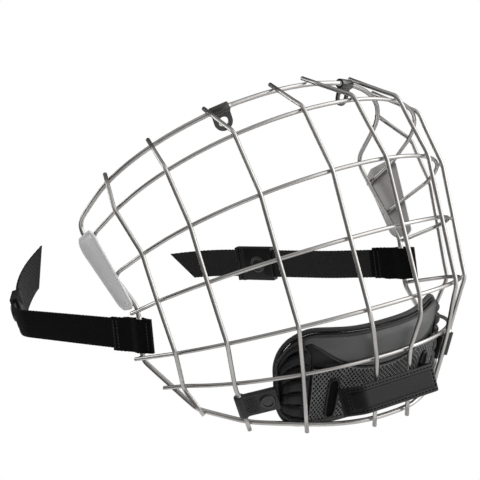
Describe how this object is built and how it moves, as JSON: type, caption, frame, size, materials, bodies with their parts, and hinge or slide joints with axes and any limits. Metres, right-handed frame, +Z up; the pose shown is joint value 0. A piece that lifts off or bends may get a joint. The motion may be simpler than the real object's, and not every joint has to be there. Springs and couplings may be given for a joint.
{
  "type": "hockey face mask",
  "caption": "Wire face mask for a hockey helmet: a welded cage with a padded chin cup, top clips and two webbing side straps with snap buckles.",
  "frame": {"origin": "middle of the rim wire at the forehead, where the mask meets the helmet's brim", "axes": "+X to the wearer's left, +Y to the back of the head, +Z up, as worn"},
  "size_m": [0.2417, 0.2634, 0.2032],
  "materials": {
    "wire": "satin nickel plating",
    "plate": "satin light grey",
    "clip": "black coating",
    "webbing": "black woven webbing",
    "buckle": "semi-gloss black",
    "snap": "black lacquer",
    "cup_plastic": "satin black",
    "lining": "black knit over foam",
    "piping": "black edge binding",
    "front_panel": "dark grey",
    "mesh_panel": "moulded mesh",
    "tab": "dark grey with a stitched border",
    "chin_strap": "black with raised diamonds"
  },
  "bodies": {
    "cage": {"rim_wire": "wire", "right_outer_upright": "wire", "right_side_upright": "wire", "right_front_upright": "wire", "right_centre_upright": "wire", "left_centre_upright": "wire", "left_front_upright": "wire", "left_side_upright": "wire", "left_outer_upright": "wire", "brow_cross_wire": "wire", "eye_cross_wire": "wire", "nose_cross_wire": "wire", "mouth_cross_wire": "wire", "chin_cross_wire": "wire", "right_side_plate": "plate", "left_side_plate": "plate", "chin_cup_shell": "cup_plastic", "chin_cup_lining": "lining", "chin_cup_piping": "piping", "chin_cup_front_panel": "front_panel", "chin_cup_mesh_panel": "mesh_panel", "right_cup_wing": "cup_plastic", "left_cup_wing": "cup_plastic"},
    "right_clip": {"right_top_clip": "clip"},
    "right_side_strap": {"right_strap": "webbing"},
    "right_strap_buckle": {"right_buckle": "buckle", "right_buckle_snap": "snap"},
    "right_chin_strap": {"right_cup_strap": "chin_strap", "right_cup_snap": "snap"},
    "left_clip": {"left_top_clip": "clip"},
    "left_side_strap": {"left_strap": "webbing"},
    "left_strap_buckle": {"left_buckle": "buckle", "left_buckle_snap": "snap"},
    "left_chin_strap": {"left_cup_strap": "chin_strap", "left_cup_snap": "snap"},
    "chin_tab": {"front_tab": "tab", "front_tab_snap": "snap"}
  },
  "joints": [
    {"name": "right_clip_turn", "type": "hinge", "parent": "cage", "child": "right_clip", "pos_m": [-0.04464, 0.00833, -0.00392], "axis": [0.9205, -0.3535, 0.1663], "range_deg": [-20, 60]},
    {"name": "right_strap_swing", "type": "hinge", "parent": "cage", "child": "right_side_strap", "pos_m": [-0.09752, 0.06642, -0.11721], "axis": [-0.0322, 0.2417, -0.9698], "range_deg": [-10, 35]},
    {"name": "right_buckle_slide", "type": "slide", "parent": "right_side_strap", "child": "right_strap_buckle", "axis": [0.5067, 0.8404, 0.1926], "range_m": [-0.0075, 0]},
    {"name": "right_chin_strap_turn", "type": "hinge", "parent": "cage", "child": "right_chin_strap", "pos_m": [-0.07477, 0.01418, -0.16809], "axis": [0.3145, 0.3957, -0.8628], "range_deg": [0, 60]},
    {"name": "left_clip_turn", "type": "hinge", "parent": "cage", "child": "left_clip", "pos_m": [0.04464, 0.00833, -0.00392], "axis": [0.9205, 0.3535, -0.1663], "range_deg": [-20, 60]},
    {"name": "left_strap_swing", "type": "hinge", "parent": "cage", "child": "left_side_strap", "pos_m": [0.09752, 0.06642, -0.11721], "axis": [-0.0322, -0.2417, 0.9698], "range_deg": [-50, 5]},
    {"name": "left_buckle_slide", "type": "slide", "parent": "left_side_strap", "child": "left_strap_buckle", "axis": [-0.3818, 0.8997, 0.2115], "range_m": [-0.032, 0]},
    {"name": "left_chin_strap_turn", "type": "hinge", "parent": "cage", "child": "left_chin_strap", "pos_m": [0.07477, 0.01418, -0.16809], "axis": [0.3145, -0.3957, 0.8628], "range_deg": [0, 60]},
    {"name": "chin_tab_open", "type": "hinge", "parent": "cage", "child": "chin_tab", "pos_m": [-0.029, -0.017, -0.18], "axis": [0, 0, -1], "range_deg": [0, 80]}
  ]
}
